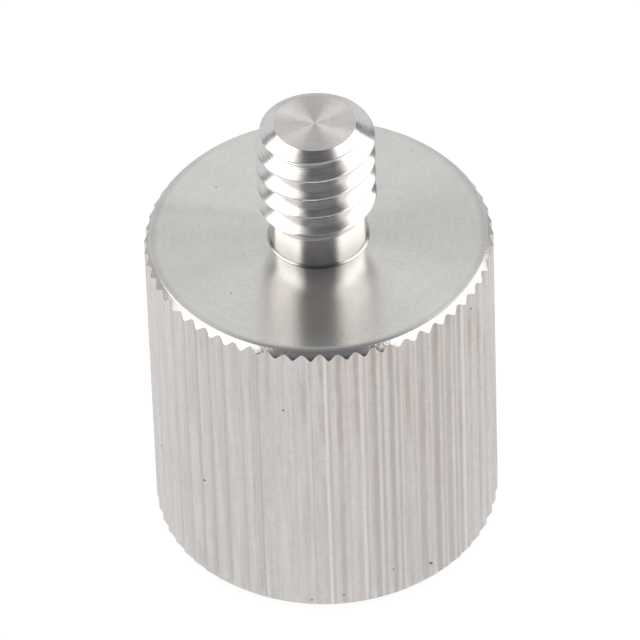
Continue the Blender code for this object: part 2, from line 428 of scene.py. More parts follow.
print("bore:", round(2 * bore_radius / MM, 2), "mm across,", round(drilled_depth / MM, 2), "mm deep")

# %% [markdown]
# ## The socket's thread
# A tap cuts this thread from inside, so its groove points away from the axis and fades near the bottom of
# the hole, where the tap's tapered end stopped. The same functions draw and wind it, and the faded part is
# drawn inwards.

# %% Cut the socket's thread
SOCKET_CREST_ROUNDING = 0.06 * MM
SOCKET_RUN_OUT_TURNS = 0.55
socket_section = groove_section(
    bore_radius, SOCKET_THREAD_RADIUS, SOCKET_PITCH, SOCKET_CREST_SHARE, CREST_SHARE, SOCKET_CREST_ROUNDING
)
socket_turns = round((drilled_depth - TAP_END_CLEARANCE) / SOCKET_PITCH) + 1
socket_cutter = wind_cutter(
    "socket_thread_cutter", socket_section, SOCKET_PITCH, socket_turns, SOCKET_COLUMNS, -SOCKET_PITCH
)
for corner in socket_cutter.data.vertices:
    wound = turns_wound(corner.co, SOCKET_PITCH, -SOCKET_PITCH)
    faded = min(max((wound - socket_turns + SOCKET_RUN_OUT_TURNS) / SOCKET_RUN_OUT_TURNS, 0.0), 1.0)
    inwards = -Vector((corner.co.x, corner.co.y, 0)).normalized()
    corner.co += inwards * faded * (socket_thread_depth + CUTTER_OVERLAP)
cut_away(socket_cutter)
print("finished form:", len(adapter.data.polygons), "faces")

# %% [markdown]
# ## Finishes
# All of it is one bare steel, and only the tool marks differ. Image maps could hold them, but node patterns
# in the part's own millimetres never blur. These first helpers add and join shader nodes, so that the
# finishes below read like sums.

# %% Add shader nodes and join them
def add_node(tree, kind, **settings):
    """Add a shader node and set its properties, or its inputs where a name is not a property."""
    node = tree.nodes.new(kind)
    for name, value in settings.items():
        if hasattr(node, name):
            setattr(node, name, value)
        else:
            node.inputs[name.replace("_", " ").capitalize()].default_value = value
    return node


def plug(tree, socket, value):
    """Feed a socket from another socket, or set it to a number or a colour."""
    if isinstance(value, bpy.types.NodeSocket):
        tree.links.new(value, socket)
    else:
        socket.default_value = value


def calculate(tree, operation, *values, clamp=False):
    """One Math node with its values plugged in; gives its result."""
    node = add_node(tree, "ShaderNodeMath", operation=operation, use_clamp=clamp)
    for socket, value in zip(node.inputs, values):
        plug(tree, socket, value)
    return node.outputs[0]


print("helpers made: add_node, plug and calculate")


# %% Sums in shader nodes
def product(tree, first, *others):
    """Several values multiplied, one after the other."""
    for other in others:
        first = calculate(tree, "MULTIPLY", first, other)
    return first


def total(tree, first, second, clamp=False):
    """Two values added, kept between 0 and 1 if clamp is set."""
    return calculate(tree, "ADD", first, second, clamp=clamp)


def difference(tree, first, second):
    """The second value taken off the first."""
    return calculate(tree, "SUBTRACT", first, second)


def on_line(tree, value, slope, start):
    """A value times a slope, plus a start."""
    return calculate(tree, "MULTIPLY_ADD", value, slope, start)


def size_of(tree, value):
    """A value without its sign."""
    return calculate(tree, "ABSOLUTE", value)


print("helpers made: product, total, difference, on_line and size_of")


# %% Ranges and colours in shader nodes
def remap(tree, value, from_low, from_high, to_low=0.0, to_high=1.0):
    """Turn one range of a value into another, with soft ends."""
    node = add_node(tree, "ShaderNodeMapRange", interpolation_type="SMOOTHSTEP")
    for socket, number in zip(node.inputs, (value, from_low, from_high, to_low, to_high)):
        plug(tree, socket, number)
    return node.outputs["Result"]


def mix_colours(tree, factor, first, second, blend="MIX"):
    """Mix two colours; gives the result."""
    node = add_node(tree, "ShaderNodeMix", data_type="RGBA", blend_type=blend)
    plug(tree, node.inputs[0], factor)
    for socket, colour in ((node.inputs[6], first), (node.inputs[7], second)):
        plug(tree, socket, colour if isinstance(colour, bpy.types.NodeSocket) else (*colour, 1.0))
    return node.outputs[2]


print("helpers made: remap and mix_colours")

# %% [markdown]
# ## Bare steel
# Every finish starts from the same metal and reads the same places: how far a point is from the axis, its
# angle from the front and its height. Generated coordinates would stretch with the object's box, so the
# places come from Object coordinates and are turned into millimetres once, here.

# %% A steel material and its places
STEEL_COLOUR = (0.635, 0.62, 0.60)


def steel_material(name, roughness):
    """A material of bare steel, with the places that its patterns read, in millimetres."""
    material = bpy.data.materials.new(name)
    material.use_nodes = True
    tree = material.node_tree
    shader = tree.nodes["Principled BSDF"]
    shader.inputs["Base Color"].default_value = (*STEEL_COLOUR, 1)
    shader.inputs["Metallic"].default_value = 1
    shader.inputs["Roughness"].default_value = roughness
    place = add_node(tree, "ShaderNodeTexCoord").outputs["Object"]
    in_mm = add_node(tree, "ShaderNodeVectorMath", operation="SCALE")
    tree.links.new(place, in_mm.inputs[0])
    in_mm.inputs["Scale"].default_value = 1 / MM
    apart = add_node(tree, "ShaderNodeSeparateXYZ")
    tree.links.new(in_mm.outputs[0], apart.inputs[0])
    x, y, z = apart.outputs
    squares = total(tree, product(tree, x, x), product(tree, y, y))
    coordinates = {
        "place": in_mm.outputs[0],
        "x": x,
        "y": y,
        "radius": calculate(tree, "SQRT", squares),
        "angle": calculate(tree, "ARCTAN2", x, product(tree, y, -1.0)),
        "height": z,
    }
    return material, tree, shader, coordinates


print("bare steel's colour:", STEEL_COLOUR)


# %% Patterns and relief
def vector_of(tree, *parts):
    """Two or three numbers as one vector."""
    node = add_node(tree, "ShaderNodeCombineXYZ")
    for socket, part in zip(node.inputs, parts):
        plug(tree, socket, part)
    return node.outputs[0]


def noise_of(tree, scale, detail=2.0, roughness=0.5, vector=None, along=None):
    """Noise read at a place, or along one number; gives a value round 0.5."""
    node = add_node(tree, "ShaderNodeTexNoise", noise_dimensions="1D" if along is not None else "3D")
    if along is not None:
        plug(tree, node.inputs["W"], along)
    else:
        plug(tree, node.inputs["Vector"], vector)
    node.inputs["Scale"].default_value = scale
    node.inputs["Detail"].default_value = detail
    node.inputs["Roughness"].default_value = roughness
    return node.outputs["Fac"]


def uneven(tree, *scales, **where):
    """Noise that varies round zero."""
    return difference(tree, noise_of(tree, *scales, **where), 0.5)


def bump(tree, shader, height, depth_mm, before=None):
    """Push the surface in and out by a height pattern that spans depth_mm."""
    node = add_node(tree, "ShaderNodeBump")
    node.inputs["Strength"].default_value = 1.0
    node.inputs["Distance"].default_value = depth_mm * MM
    tree.links.new(height, node.inputs["Height"])
    if before is not None:
        tree.links.new(before, node.inputs["Normal"])
    tree.links.new(node.outputs[0], shader.inputs["Normal"])
    return node.outputs[0]


print("helpers made: vector_of, noise_of, uneven and bump")

# %% [markdown]
# ## Tone and painted shade on the faced ends
# A lathe tool that moves across a turning face leaves thousands of fine circles. Their tone changes slowly
# from spoke to spoke. Painted shade dulls the sides, a painted reflection makes the rear left paler, one
# faint dark streak lies on the left, and painted shade darkens an edge near the rim. Painting a map could
# hold that, but each of these is one short sum of the radius and the angle.

# %% Slow tone and painted shade round a faced end
SPOKE_CONTRAST = 0.16
MEAN_SHADE = 0.045
PAINTED_SIDE_SHADE = -0.10
SIDE_NARROWNESS = 5.0
REAR_LEFT_ANGLE = math.radians(-131)
PAINTED_REAR_LEFT_REFLECTION = 0.05
STREAK_SLOPE = 0.17
STREAK_HEIGHT = 1.0
STREAK_SHADE = 0.07
STREAK_HALF_WIDTH = 0.8
STREAK_END = (-3.6, -2.4)
PAINTED_EDGE_SHADES = (0.03, 0.14)
EDGE_RADII = (8.40, 8.75)


def spoke_tone_and_painted_shade(tree, at):
    """Slow changes of tone from spoke to spoke, with painted shade at both sides and a paler painted
    reflection at the rear left.
    """
    sine = calculate(tree, "SINE", at["angle"])
    round_about = vector_of(tree, sine, calculate(tree, "COSINE", at["angle"]))
    spokes = uneven(tree, 2.2, 2.0, 0.5, vector=round_about)
    sideways = calculate(tree, "POWER", size_of(tree, sine), SIDE_NARROWNESS)
    rear_left = calculate(tree, "COSINE", difference(tree, at["angle"], REAR_LEFT_ANGLE))
    shade = on_line(tree, spokes, SPOKE_CONTRAST, MEAN_SHADE)
    shade = on_line(tree, sideways, PAINTED_SIDE_SHADE, shade)
    return on_line(tree, remap(tree, rear_left, 0.75, 1.0), PAINTED_REAR_LEFT_REFLECTION, shade)


def shade_of_streak(tree, at):
    """The faint dark streak that crosses the left of the face."""
    from_line = on_line(tree, at["x"], STREAK_SLOPE, difference(tree, at["y"], STREAK_HEIGHT))
    streak = remap(tree, size_of(tree, from_line), 0.0, STREAK_HALF_WIDTH, STREAK_SHADE, 0.0)
    return product(tree, streak, remap(tree, at["x"], *STREAK_END, 1.0, 0.0))


def painted_edge_shade(tree, at):
    """Painted shade on the edge just inside the rim, strongest at both sides."""
    sideways = size_of(tree, calculate(tree, "SINE", at["angle"]))
    along_edge = remap(tree, sideways, 0.45, 0.75, *PAINTED_EDGE_SHADES)
    return product(tree, remap(tree, at["radius"], *EDGE_RADII), along_edge)


print("the edge darkens from", EDGE_RADII[0], "to", EDGE_RADII[1], "mm from the axis")

# %% [markdown]
# ## Faced steel
# Light spreads across the fine circles and hardly along them. The shader's anisotropy does that when its
# tangent follows the circles, and it needs no geometry. A little bump along the radius makes the coarser
# circles that the eye can see, and fine grain and short arcs break up the colour, as in the photograph.

# %% Two faced finishes
NICKS = ((-5.33, 3.90, 0.05), (-4.68, -4.27, 0.05), (5.1, 6.2, 0.03))
NICK_COLOUR = (0.20, 0.19, 0.18)
DOT_CORE = 0.5
DOT_RIM = 1.3


def dots(tree, first, second, places):
    """Small round marks at places, each two coordinates and a size in millimetres; 1 inside, 0 outside."""
    shown = 0.0
    for first_place, second_place, size in places:
        off_first = difference(tree, first, first_place)
        off_second = difference(tree, second, second_place)
        squares = on_line(tree, off_first, off_first, product(tree, off_second, off_second))
        distance = calculate(tree, "SQRT", squares)
        inside = remap(tree, distance, size * DOT_CORE, size * DOT_RIM, 1.0, 0.0)
        shown = calculate(tree, "MAXIMUM", inside, shown)
    return shown


def faced_steel(name, roughness, anisotropy, metal_share, ring_depth, dark, light, tone_and_painted_shade_share, nicks=()):
    """Steel with circular turning marks round the axis."""
    material, tree, shader, at = steel_material(name, roughness)
    tangent = add_node(tree, "ShaderNodeTangent", direction_type="RADIAL", axis="Z")
    tree.links.new(tangent.outputs[0], shader.inputs["Tangent"])
    shader.inputs["Metallic"].default_value = metal_share
    shader.inputs["Anisotropic"].default_value = anisotropy
    shader.inputs["Anisotropic Rotation"].default_value = 0.25
    fine_rings = noise_of(tree, 13.0, 3.0, 0.6, along=at["radius"])
    clouds = noise_of(tree, 0.35, 3.0, 0.55, vector=at["place"])
    shade = total(tree, product(tree, fine_rings, 0.04), product(tree, clouds, 0.13))
    colour = mix_colours(tree, remap(tree, shade, 0.045, 0.125), dark, light)
    # The slow sum tints the colour: spoke tone and the streak, with painted shade at the sides and edge and a
    # painted reflection at the rear left.
    slow_tone_and_painted_shade = difference(tree, spoke_tone_and_painted_shade(tree, at), shade_of_streak(tree, at))
    slow_tone_and_painted_shade = difference(tree, slow_tone_and_painted_shade, painted_edge_shade(tree, at))
    grain = uneven(tree, 5.0, 2.0, 0.8, vector=at["place"])
    arc_place = vector_of(tree, at["radius"], product(tree, at["angle"], 1.2))
    arcs = uneven(tree, 2.5, 3.0, 0.8, vector=arc_place)
    tint = on_line(tree, slow_tone_and_painted_shade, tone_and_painted_shade_share, 1.0)
    tint = on_line(tree, arcs, 0.10, tint)
    tint = on_line(tree, grain, 0.20, tint)
    tinted = add_node(tree, "ShaderNodeVectorMath", operation="SCALE")
    tree.links.new(colour, tinted.inputs[0])
    tree.links.new(tint, tinted.inputs["Scale"])
    colour = mix_colours(tree, dots(tree, at["x"], at["y"], nicks), tinted.outputs[0], NICK_COLOUR)
    tree.links.new(colour, shader.inputs["Base Color"])
    bump(tree, shader, fine_rings, ring_depth)
    return material


top_steel = faced_steel(
    "faced_steel", roughness=0.18, anisotropy=0.84, metal_share=0.94, ring_depth=0.0015,
    dark=(0.637, 0.627, 0.607), light=(0.667, 0.660, 0.648), tone_and_painted_shade_share=1.0, nicks=NICKS,
)
tip_steel = faced_steel(
    "faced_tip_steel", roughness=0.26, anisotropy=0.96, metal_share=1.0, ring_depth=0.0001,
    dark=(0.62, 0.593, 0.575), light=(0.67, 0.655, 0.642), tone_and_painted_shade_share=0.4,
)
print("nodes in the faced steel:", len(top_steel.node_tree.nodes))

# %% [markdown]
# ## The bright cuts
# The thread, the neck and the chamfers are cut with a sharp tool, so they are brighter, with fine lines that
# run the way the tool ran. On the thread that way is the helix, so the pattern reads the height after the
# thread's own rise is taken off. The lines could be modelled, but at a thousandth of a millimetre a bump
# is enough. At the foot of the neck and of the barrel, painted shade darkens the colour where the steel faces
# less light.

# %% Smudges, painted shade and burrs on the rim's chamfer
FRONT_ANGLES = (math.radians(20), math.radians(34))
SMUDGE_COLOUR = (0.36, 0.30, 0.27)
GROOVE_END_DIRT_AND_SHADE = (0.26, 0.22, 0.20)
RIM_TOP = BARREL_HEIGHT / MM


def rim_smudges_and_painted_shade(tree, at, colour, in_front):
    """The rim's colour with the brown smudges that its front carries, and dirt with painted shade that darken
    it most in the grooves' ends.
    """
    smudges = remap(tree, noise_of(tree, 2.6, 3.0, 0.65, vector=at["place"]), 0.50, 0.66, 0.0, 0.75)
    low_part = remap(tree, at["height"], RIM_TOP - 0.42, RIM_TOP - 0.12, 1.0, 0.25)
    colour = mix_colours(tree, product(tree, smudges, low_part, in_front), colour, SMUDGE_COLOUR)
    # Dirt and painted shade at the chamfer's low edge in front, where it runs into the grooves.
    groove_end_dirt_and_shade = remap(tree, at["height"], RIM_TOP - 0.44, RIM_TOP - 0.22, 0.75, 0.0)
    return mix_colours(tree, product(tree, groove_end_dirt_and_shade, in_front), colour, GROOVE_END_DIRT_AND_SHADE)


print("the chamfer's top edge:", round(RIM_TOP, 2), "mm up")


# %% Four bright finishes
def cut_steel(name, roughness, pitch, line_depth, in_lines, between_lines, painted_foot_shades=(), burr_depth=0.0):
    """Steel that a tool cut while it moved by one pitch a turn."""
    material, tree, shader, at = steel_material(name, roughness)
    rise = product(tree, at["angle"], pitch / MM / (2 * math.pi))
    wound_height = difference(tree, at["height"], rise)
    section_place = vector_of(tree, at["radius"], wound_height, product(tree, at["angle"], 0.06))
    tool_lines = noise_of(tree, 14.0, 2.0, 0.6, vector=section_place)
    clouds = noise_of(tree, 1.2, 2.0, 0.5, vector=at["place"])
    colour = mix_colours(tree, remap(tree, tool_lines, 0.34, 0.47), in_lines, between_lines)
    in_front = remap(tree, size_of(tree, at["angle"]), *FRONT_ANGLES, 1.0, 0.0)
    # Painted shade: the colour darkens towards each foot, at the front only where that is asked for.
    for low, high, share, front_only in painted_foot_shades:
        darkened = difference(tree, 1.0, remap(tree, at["height"], low, high, share, 1.0))
        if front_only:
            darkened = product(tree, darkened, in_front)
        colour = mix_colours(tree, darkened, colour, (0.0, 0.0, 0.0))
    cloudy = remap(tree, clouds, 0.3, 0.7, roughness - 0.03, roughness + 0.04)
    tree.links.new(cloudy, shader.inputs["Roughness"])
    lines = bump(tree, shader, tool_lines, line_depth)
    if burr_depth > 0:
        burrs = noise_of(tree, 7.0, 3.0, 0.6, vector=at["place"])
        colour = rim_smudges_and_painted_shade(tree, at, colour, in_front)
        bump(tree, shader, burrs, burr_depth, before=lines)
    tree.links.new(colour, shader.inputs["Base Color"])
    return material


thread_steel = cut_steel(
    "thread_steel", roughness=0.20, pitch=STUD_PITCH, line_depth=0.0010,
    in_lines=(0.60, 0.59, 0.57), between_lines=(0.69, 0.68, 0.67),
)
# Painted shade at the neck's foot: all round, and at the fillet in front.
NECK_PAINTED_SHADES = ((RIM_TOP, RIM_TOP + 2.0, 0.60, False), (RIM_TOP + 0.04, RIM_TOP + 0.22, 0.35, True))
neck_steel = cut_steel(
    "neck_steel", roughness=0.19, pitch=0.0, line_depth=0.0002,
    in_lines=(0.66, 0.65, 0.63), between_lines=(0.71, 0.70, 0.68), painted_foot_shades=NECK_PAINTED_SHADES,
)
# Painted shade at the barrel's foot.
BARREL_PAINTED_SHADE = ((0.3, 1.0, 0.4, False),)
rim_steel = cut_steel(
    "chamfer_steel", roughness=0.19, pitch=0.0, line_depth=0.0003,
    in_lines=(0.60, 0.59, 0.57), between_lines=(0.66, 0.65, 0.63), painted_foot_shades=BARREL_PAINTED_SHADE, burr_depth=0.012,
)
socket_steel = cut_steel(
    "socket_steel", roughness=0.24, pitch=SOCKET_PITCH, line_depth=0.0016,
    in_lines=(0.56, 0.55, 0.53), between_lines=(0.66, 0.65, 0.63),
)
print("nodes in the chamfer's steel:", len(rim_steel.node_tree.nodes))

# %% [markdown]
# ## The rolled knurl
# Rolling squeezes the metal up into teeth, so the surface is satin and streaked along the bar. Oil and dirt
# stay in the grooves as faint stripes, darkened further by painted shade. A map would need the side unrolled,
# so instead the tooth that a point belongs to comes from its angle, and each groove and each tooth can have
# its own shade.

# %% Where a point lies on the knurl
knurled_steel, tree, shader, at = steel_material("knurled_steel", 0.42)
first_crest = FIRST_CREST_ANGLE - FRONT
tooth_place = calculate(tree, "DIVIDE", difference(tree, at["angle"], first_crest), TOOTH_ANGLE)
groove_number = calculate(tree, "FLOOR", tooth_place)
wander = uneven(tree, 0.9, 2.0, 0.6, vector=at["place"])
# On the right the groove's band of dirt and painted shade moves across the tooth with the angle.
groove_place = on_line(tree, calculate(tree, "MAXIMUM", at["angle"], 0.0), 0.09, 0.5)
groove_place = on_line(tree, wander, 0.13, groove_place)
in_tooth = difference(tree, tooth_place, groove_number)
from_groove = size_of(tree, difference(tree, in_tooth, groove_place))
in_groove = remap(tree, from_groove, 0.06, 0.24, 1.0, 0.0)
tooth_number = calculate(tree, "FLOOR", total(tree, tooth_place, 0.5))
across_tooth = difference(tree, tooth_place, tooth_number)
print("knurl's first crest:", round(math.degrees(first_crest), 2), "degrees from the front")


# %% Streaks along the bar, and a number for each groove and tooth
def stretched_place(squeeze):
    """The place with its height squeezed, so that a noise read there is stretched along the bar."""
    mapping = add_node(tree, "ShaderNodeMapping")
    mapping.inputs["Scale"].default_value = (1.0, 1.0, squeeze)
    tree.links.new(at["place"], mapping.inputs["Vector"])
    return mapping.outputs[0]


def dice_of(number):
    """A random value from 0 to 1 that belongs to a whole number."""
    node = add_node(tree, "ShaderNodeTexWhiteNoise", noise_dimensions="1D")
    tree.links.new(number, node.inputs["W"])
    return node.outputs["Value"]


TOOTH_DICE_START = 200.0
along_bar = stretched_place(0.035)
bar_streaks = noise_of(tree, 3.2, 3.0, 0.6, vector=along_bar)
fine_streaks = noise_of(tree, 11.0, 2.0, 0.5, vector=along_bar)
stain_patches = noise_of(tree, 1.1, 3.0, 0.6, vector=stretched_place(0.22))
groove_dice = dice_of(groove_number)
tooth_dice = dice_of(total(tree, tooth_number, TOOTH_DICE_START))
print("nodes so far:", len(tree.nodes))

# %% [markdown]
# ### Dirt and painted shade in the grooves
# From the middle to the right the grooves are grey with dirt and painted shade together, and a brown tinge of
# dirt lies round one bearing, stronger near the top. Dirt could be one noise all over, but then it would
# cross the teeth. Here a groove's own share is multiplied by where on the bar the dirt and shade lie.

# %% Shares of grey and brown
DIRT_AND_SHADE_START = (math.radians(-15), math.radians(5))
DIRT_AND_SHADE_END = (math.radians(46), math.radians(60))
GREYER_RIGHT = (math.radians(12), math.radians(28))
BROWN_ANGLE = math.radians(38)
dirt_and_shade_rise = remap(tree, at["angle"], *DIRT_AND_SHADE_START, 0.5, 1.0)
dirt_and_shade_fade = remap(tree, at["angle"], *DIRT_AND_SHADE_END, 1.0, 0.55)
dirt_and_shade_side = product(tree, dirt_and_shade_rise, dirt_and_shade_fade)
# Grey in the grooves is dirt together with painted shade, stronger towards the right.
grey = product(tree, in_groove, remap(tree, groove_dice, 0.0, 1.0, 0.25, 0.8), dirt_and_shade_side)
grey = product(tree, grey, remap(tree, at["angle"], *GREYER_RIGHT, 1.0, 1.35))
brown_side = calculate(tree, "COSINE", difference(tree, at["angle"], BROWN_ANGLE))
brown = product(tree, in_groove, remap(tree, stain_patches, 0.42, 0.62))
brown = product(tree, brown, remap(tree, at["height"], 4.0, 17.0, 0.25, 1.0))
brown = product(tree, brown, remap(tree, brown_side, 0.3, 0.9, 0.15, 1.0))
print("brown is strongest", round(math.degrees(BROWN_ANGLE)), "degrees right of the front")

# %% Pale steel with its dirt and painted shade
DULL_PALE = (0.71, 0.694, 0.682)
BRIGHT_PALE = (0.775, 0.765, 0.755)
FINE_STREAK_COLOUR = (0.55, 0.53, 0.515)
GREY_DIRT_AND_SHADE = (0.56, 0.53, 0.51)
BROWN_DIRT = (0.50, 0.40, 0.32)
pale = mix_colours(tree, remap(tree, bar_streaks, 0.35, 0.65), DULL_PALE, BRIGHT_PALE)
pale = mix_colours(tree, remap(tree, fine_streaks, 0.52, 0.70, 0.0, 0.30), pale, FINE_STREAK_COLOUR)
pale = mix_colours(tree, dirt_and_shade_side, pale, (1.0, 0.965, 0.96), blend="MULTIPLY")
blotches = remap(tree, noise_of(tree, 1.9, 2.0, 0.6, vector=at["place"]), 0.40, 0.62)
pale = mix_colours(tree, blotches, pale, (0.965, 0.97, 0.968), blend="MULTIPLY")
knurl_colour = mix_colours(tree, grey, pale, GREY_DIRT_AND_SHADE)
knurl_colour = mix_colours(tree, product(tree, brown, 0.5), knurl_colour, BROWN_DIRT)
print("nodes so far:", len(tree.nodes))

# %% [markdown]
# ### Painted shade and highlights on the crests
# Each crest has a darker line of painted shade, and some teeth, burnished by the rolls, a painted highlight
# beside it.
# A Bevel node could find the crests, but only one renderer knows it, so both lines are placed by where a
# point lies across its tooth, and both fade where the side turns away from the front.

# %% Crest lines of painted shade and burnished highlights
BURNISH_HIGHLIGHT_TEETH = ((0.0, 0.75), (2.0, 0.4), (9.0, 0.6))
TURNED_AWAY = (math.radians(50), math.radians(64))
CREST_SHADE_COLOUR = (0.47, 0.43, 0.40)
BURNISH_HIGHLIGHT_COLOUR = (0.86, 0.85, 0.84)
# Painted shade: a darker line along each crest, fading where the side turns away from the front.
crest_painted_shade = remap(tree, size_of(tree, total(tree, across_tooth, 0.07)), 0.03, 0.14, 1.0, 0.0)
crest_painted_shade = product(tree, crest_painted_shade, remap(tree, tooth_dice, 0.0, 1.0, 0.1, 0.55))
crest_painted_shade = product(tree, crest_painted_shade, remap(tree, bar_streaks, 0.3, 0.55, 0.5, 1.0))
burnish_highlight_share = remap(tree, tooth_dice, 0.5, 1.0, 0.0, 0.25)
for number, share in BURNISH_HIGHLIGHT_TEETH:
    is_tooth = calculate(tree, "COMPARE", tooth_number, number, 0.5)
    burnish_highlight_share = calculate(tree, "MAXIMUM", burnish_highlight_share, product(tree, is_tooth, share))
# Painted highlight: a bright stripe beside the crest of burnished teeth.
burnish_and_highlight = remap(tree, size_of(tree, total(tree, across_tooth, 0.25)), 0.04, 0.13, 1.0, 0.0)
burnish_and_highlight = product(tree, burnish_and_highlight, burnish_highlight_share)
facing = remap(tree, size_of(tree, at["angle"]), *TURNED_AWAY, 1.0, 0.35)
knurl_colour = mix_colours(tree, product(tree, crest_painted_shade, facing), knurl_colour, CREST_SHADE_COLOUR)
knurl_colour = mix_colours(tree, product(tree, burnish_and_highlight, facing), knurl_colour, BURNISH_HIGHLIGHT_COLOUR)
print("burnished teeth, counted from the front:", [round(number) for number, share in BURNISH_HIGHLIGHT_TEETH])

# %% [markdown]
# ### Specks and pits
# The rolls leave faint specks and a few small dark pits. Modelled pits would cost thousands of faces, and
# even the large ones are little more than a tenth of a millimetre across. Small ones come from a cell
# pattern, the large ones of the photograph are placed by angle and height, and all are pressed in by the
# bump.

# %% Finish the knurled steel
PITS = ((36.1, 1.37, 0.085), (4.3, 0.85, 0.055), (21.8, 2.05, 0.06), (59.3, 17.37, 0.06), (-6.5, 0.53, 0.06))
SPECKLE_COLOUR = (0.45, 0.41, 0.39)
PIT_COLOUR = (0.12, 0.10, 0.09)
LARGEST_SMALL_PIT = 0.055
speckle = remap(tree, noise_of(tree, 5.0, 2.0, 0.6, vector=at["place"]), 0.60, 0.72, 0.0, 0.3)
knurl_colour = mix_colours(tree, speckle, knurl_colour, SPECKLE_COLOUR)
pits = add_node(tree, "ShaderNodeTexVoronoi", feature="F1", distance="EUCLIDEAN")
tree.links.new(at["place"], pits.inputs["Vector"])
pits.inputs["Scale"].default_value = 0.5
pit_size = product(tree, pits.outputs["Color"], LARGEST_SMALL_PIT)
pit = remap(tree, difference(tree, pits.outputs["Distance"], pit_size), -0.02, 0.012, 1.0, 0.0)
crest_radius = KNURL_CREST_RADIUS / MM
arc = product(tree, at["angle"], crest_radius)
large_pits = [(math.radians(degrees) * crest_radius, height, size) for degrees, height, size in PITS]
pit = calculate(tree, "MAXIMUM", pit, dots(tree, arc, at["height"], large_pits))
colour = mix_colours(tree, product(tree, pit, 0.8), knurl_colour, PIT_COLOUR)
tree.links.new(colour, shader.inputs["Base Color"])
tree.links.new(remap(tree, fine_streaks, 0.3, 0.7, 0.38, 0.46), shader.inputs["Roughness"])
relief = total(tree, product(tree, bar_streaks, 1.0), product(tree, fine_streaks, 0.35))
relief = difference(tree, relief, product(tree, pit, 2.0))
bump(tree, shader, relief, 0.02)
print("nodes in the knurled steel:", len(tree.nodes))

# %% [markdown]
# ## Which face has which finish
# Each finish belongs to one tool's cut, and a cut is known by its place: its radius, its height and the way
# it faces. Faces could be picked by hand, but the Boolean renumbers them, so they are sorted in code.

# %% Sort the faces
LEVEL = 0.975
SLOPED = 0.3
AT_HEIGHT = 0.01 * MM
WORN_FALL = 0.045 * MM
CLEAR_OF = 0.1 * MM
FINISHES = [top_steel, tip_steel, thread_steel, neck_steel, rim_steel, socket_steel, knurled_steel]
for finish in FINISHES:
    adapter.data.materials.append(finish)


def finish_of(face):
    """The finish of one face of the adapter."""
    radius = math.hypot(face.center.x, face.center.y)
    height = face.center.z
    is_level = abs(face.normal.z) > LEVEL
    if is_level and (abs(height) < AT_HEIGHT or abs(height - BARREL_HEIGHT) < WORN_FALL):
        return top_steel
    if is_level and height > TOTAL_HEIGHT - AT_HEIGHT:
        return tip_steel
    if radius < mouth_radius and height < BARREL_HEIGHT - CLEAR_OF:
        return socket_steel
    if radius < STUD_THREAD_RADIUS + CLEAR_OF:
        on_neck = height < BARREL_HEIGHT + NECK_HEIGHT and radius < NECK_RADIUS + NECK_FILLET
        return neck_steel if on_neck else thread_steel
    if abs(face.normal.z) > SLOPED:
        return rim_steel
    return knurled_steel


for face in adapter.data.polygons:
    face.material_index = FINISHES.index(finish_of(face))
for index, finish in enumerate(FINISHES):
    count = sum(1 for face in adapter.data.polygons if face.material_index == index)
    print(f"{finish.name}: {count} faces")

# %% [markdown]
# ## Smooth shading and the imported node
# Curved cuts look smooth while the edges between two cuts stay crisp. Marking sharp edges by hand would do
# it, but here every true edge is steeper than the angle between two steps of a curve, so one angle tells
# them apart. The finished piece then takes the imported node's place.

# %% Shade the piece and hand it over
SMOOTH_ANGLE = math.radians(32)
clear_selection()
adapter.select_set(True)
bpy.context.view_layer.objects.active = adapter
bpy.ops.object.shade_smooth_by_angle(angle=SMOOTH_ANGLE)
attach(adapter, "root")
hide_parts(NODE)
print("the adapter replaces the packed node", NODE)

# %% [markdown]
# ## Camera
# The photograph was taken from above with a long lens, and the object leans a little to the left in it.
# The camera could be aimed by eye, but it stands where a fit to the object's outlines puts it, and is aimed
# so that the middle of the top face lands on the same pixel as in the photograph.

# %% Place and aim the camera
IMAGE_SIZE = 640
FOCAL_PIXELS = 9278
FACE_CENTRE_PIXEL = (318.60, 233.97)
CAMERA_ELEVATION = math.radians(43.15)
CAMERA_ROLL = math.radians(2.0)
CAMERA_DISTANCE = 487.3 * MM
SENSOR_WIDTH = 36.0
NEAREST = 10 * MM
FARTHEST = 10.0

face_centre = Vector((0, 0, BARREL_HEIGHT))
towards_face = Vector((0, math.cos(CAMERA_ELEVATION), -math.sin(CAMERA_ELEVATION)))
level_right = Vector((1, 0, 0))
level_up = Vector((0, math.sin(CAMERA_ELEVATION), math.cos(CAMERA_ELEVATION)))
right = level_right * math.cos(CAMERA_ROLL) - level_up * math.sin(CAMERA_ROLL)
up = level_up * math.cos(CAMERA_ROLL) + level_right * math.sin(CAMERA_ROLL)
off_right = (FACE_CENTRE_PIXEL[0] - IMAGE_SIZE / 2) / FOCAL_PIXELS
off_up = (IMAGE_SIZE / 2 - FACE_CENTRE_PIXEL[1]) / FOCAL_PIXELS
forward = (towards_face - right * off_right - up * off_up).normalized()
up = (up - forward * up.dot(forward)).normalized()
right = forward.cross(up)

camera_data = bpy.data.cameras.new("camera")
camera_data.lens = FOCAL_PIXELS / IMAGE_SIZE * SENSOR_WIDTH
camera_data.sensor_width = SENSOR_WIDTH
camera_data.clip_start = NEAREST
camera_data.clip_end = FARTHEST
camera = bpy.data.objects.new("camera", camera_data)
bpy.context.scene.collection.objects.link(camera)
axes = Matrix((right, up, -forward)).transposed()
camera.matrix_world = Matrix.Translation(face_centre - towards_face * CAMERA_DISTANCE) @ axes.to_4x4()
bpy.context.scene.camera = camera
bpy.context.scene.view_settings.view_transform = "Standard"
print("lens:", round(camera_data.lens, 1), "mm")

